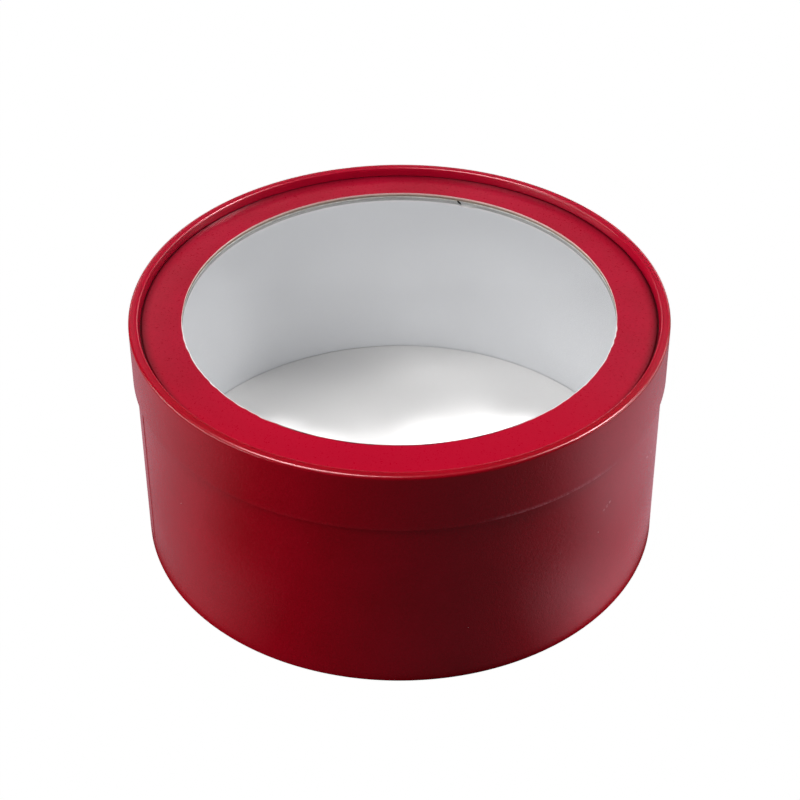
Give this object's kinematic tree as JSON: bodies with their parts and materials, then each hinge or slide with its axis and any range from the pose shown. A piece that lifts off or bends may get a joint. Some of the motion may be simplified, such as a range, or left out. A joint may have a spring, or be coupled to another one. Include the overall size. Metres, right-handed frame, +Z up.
{
  "type": "round window-lid flower box",
  "caption": "Shallow round paper-covered board box with a lift-off lid whose recessed panel frames a clear window, for flowers or gifts.",
  "frame": {"origin": "middle of the foot, on the plane that the box stands on", "axes": "+Z up along the box's upright axis, which is also the way the lid lifts off; +X to the right and +Y away from the viewer of the picture"},
  "size_m": [0.25, 0.25, 0.1211],
  "materials": {
    "base_wrap_red": "satin",
    "lid_wrap_red": "satin",
    "panel_red": "matte",
    "lining_white": "matte",
    "floor_white": "matte",
    "underside_white": "matte",
    "greyboard": "matte",
    "lid_band_board": "matte",
    "panel_board": "matte",
    "under_ring_white": "matte",
    "tape": "gloss",
    "clear_film": "clear"
  },
  "bodies": {
    "base": {"base_outer_wrap": "base_wrap_red", "base_wall_board": "greyboard", "base_inner_liner": "lining_white", "base_underside_paper": "underside_white", "base_bottom_board": "greyboard", "base_floor_paper": "floor_white"},
    "lid": {"lid_outer_wrap": "lid_wrap_red", "lid_wall_board": "lid_band_board", "lid_top_ring_paper": "panel_red", "lid_top_ring_board": "panel_board", "window_adhesive_ring": "tape", "window_film": "clear_film", "lid_under_ring": "under_ring_white"}
  },
  "joints": [
    {"name": "lid_lift", "type": "slide", "parent": "base", "child": "lid", "axis": [0, 0, 1], "range_m": [0, 0.15]}
  ]
}
